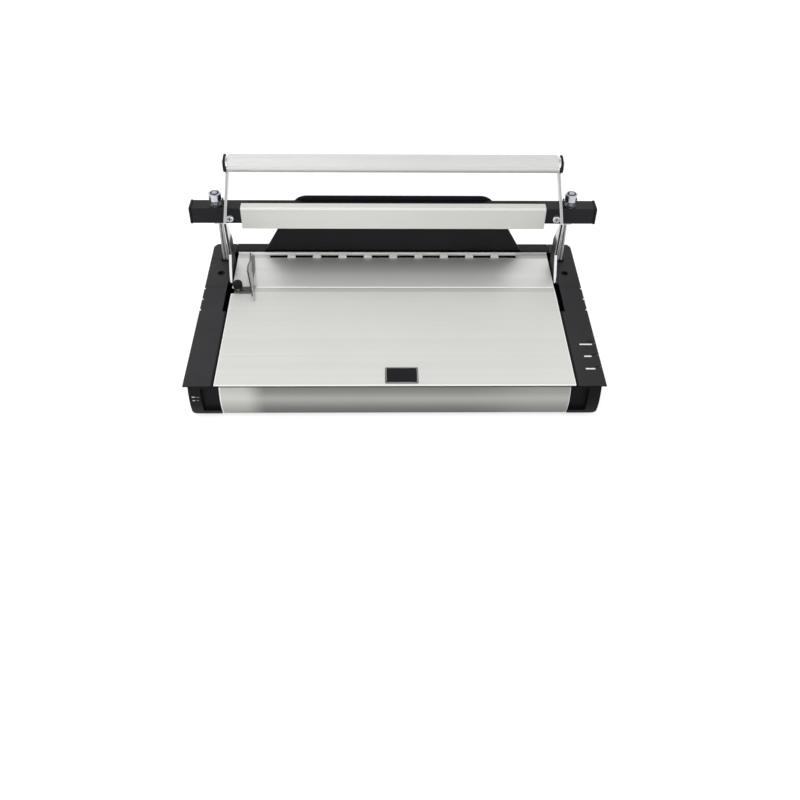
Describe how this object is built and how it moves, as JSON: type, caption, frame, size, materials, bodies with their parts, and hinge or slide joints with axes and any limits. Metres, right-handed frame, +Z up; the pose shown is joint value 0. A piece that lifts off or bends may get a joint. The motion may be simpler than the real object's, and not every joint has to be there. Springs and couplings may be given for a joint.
{
  "type": "thermal strip binding machine",
  "caption": "Table-top binding machine: sloped table with a row of pin windows, heated press bar on two posts and a U-shaped pull handle.",
  "frame": {"origin": "middle of the bounding box in plan, on the plane the rubber feet stand on", "axes": "+X to the operator's right, +Y from the front edge towards the back, +Z up"},
  "size_m": [0.435, 0.247, 0.1589],
  "materials": {
    "black_steel": "satin black powder coat",
    "black_paint": "fine textured black paint",
    "backstop_black": "smooth satin black",
    "tube_black": "satin black paint",
    "table_sheet": "brushed along the width, clear anodised",
    "press_sheet": "brushed, clear anodised",
    "silver_fascia": "brushed satin",
    "grip_aluminium": "extruded and fluted, satin",
    "heater_aluminium": "plain milled",
    "zinc_steel": "zinc plated",
    "nut_zinc": "bright zinc plated",
    "dark_screws": "black oxide",
    "spring_steel": "drawn wire",
    "arm_chrome": "polished chrome",
    "fence_chrome": "chrome on thin sheet",
    "bronze": "sintered bronze",
    "rubber": "matt",
    "black_nylon": "matt",
    "blue_nylon": "matt",
    "black_plastic": "satin moulded",
    "label_black": "semi-gloss foil",
    "insulator_board": "fibre board",
    "board_green": "solder mask",
    "component_black": "moulded",
    "lens": "clear moulded"
  },
  "bodies": {
    "base": {"backstop_plate": "backstop_black", "backstop_screws": "dark_screws", "base_tray": "black_steel", "board_parts": "component_black", "board_pillars": "zinc_steel", "bracket_screws": "zinc_steel", "controller_board": "board_green", "cover_screws": "dark_screws", "cover_standoffs": "zinc_steel", "foot_screws": "zinc_steel", "front_fascia": "silver_fascia", "front_table_panel": "table_sheet", "fuse_holder": "black_plastic", "guide_bush_left": "black_nylon", "guide_bush_right": "black_nylon", "guide_rail": "zinc_steel", "label_plate": "label_black", "lamp_lenses": "lens", "mains_inlet": "black_plastic", "pin_well": "black_nylon", "pivot_bracket_left": "zinc_steel", "pivot_bracket_right": "zinc_steel", "rear_cover": "black_paint", "rear_table_panel": "table_sheet", "return_springs": "spring_steel", "rubber_feet": "rubber", "shaft_bearings": "bronze", "side_cover_left": "black_paint", "side_cover_right": "black_paint", "switch_frame": "black_plastic", "table_rail_left": "zinc_steel", "table_rail_right": "zinc_steel"},
    "press_bar": {"press_tube": "tube_black", "tube_caps": "black_plastic", "press_cover": "press_sheet", "insulator": "insulator_board", "heater_bar": "heater_aluminium", "heater_rod": "spring_steel", "thermostat": "component_black", "guide_post_left": "zinc_steel", "guide_post_right": "zinc_steel", "adjusting_studs": "zinc_steel", "lock_nuts": "nut_zinc", "nut_rings": "blue_nylon", "stud_washers": "zinc_steel", "lock_tabs": "black_paint", "tube_screws": "nut_zinc"},
    "handle": {"handle_bar": "grip_aluminium", "handle_arm_left": "arm_chrome", "handle_arm_right": "arm_chrome", "handle_caps": "black_plastic", "cap_screws": "nut_zinc", "cross_shaft": "zinc_steel", "shaft_collars": "zinc_steel", "yoke_pins": "zinc_steel"},
    "side_guide": {"side_fence": "fence_chrome"},
    "guide_clamp": {"guide_knob": "black_plastic", "clamp_shank": "arm_chrome"},
    "power_switch": {"power_rocker": "black_plastic"}
  },
  "joints": [
    {"name": "handle_swing", "type": "hinge", "parent": "base", "child": "handle", "pos_m": [0, 0.07642, 0.0263], "axis": [1, 0, 0], "range_deg": [0, 62], "stiffness_Nm_per_rad": 0.4, "springref_deg": -68.75},
    {"name": "press_slide", "type": "slide", "parent": "base", "child": "press_bar", "axis": [0, 0, -1], "range_m": [0, 0.031]},
    {"name": "guide_slide", "type": "slide", "parent": "base", "child": "side_guide", "axis": [-1, 0, 0], "range_m": [0, 0.003]},
    {"name": "knob_turn", "type": "hinge", "parent": "side_guide", "child": "guide_clamp", "pos_m": [-0.166, 0.02582, 0.055], "axis": [0, 0, 1], "range_deg": [0, 180]},
    {"name": "switch_rock", "type": "hinge", "parent": "base", "child": "power_switch", "pos_m": [0.118, 0.11012, 0.027], "axis": [-1, 0, 0], "range_deg": [0, 16]}
  ],
  "couplings": [
    {"joint": "press_slide", "follows": "handle_swing", "m_per_rad": 0.02864}
  ]
}
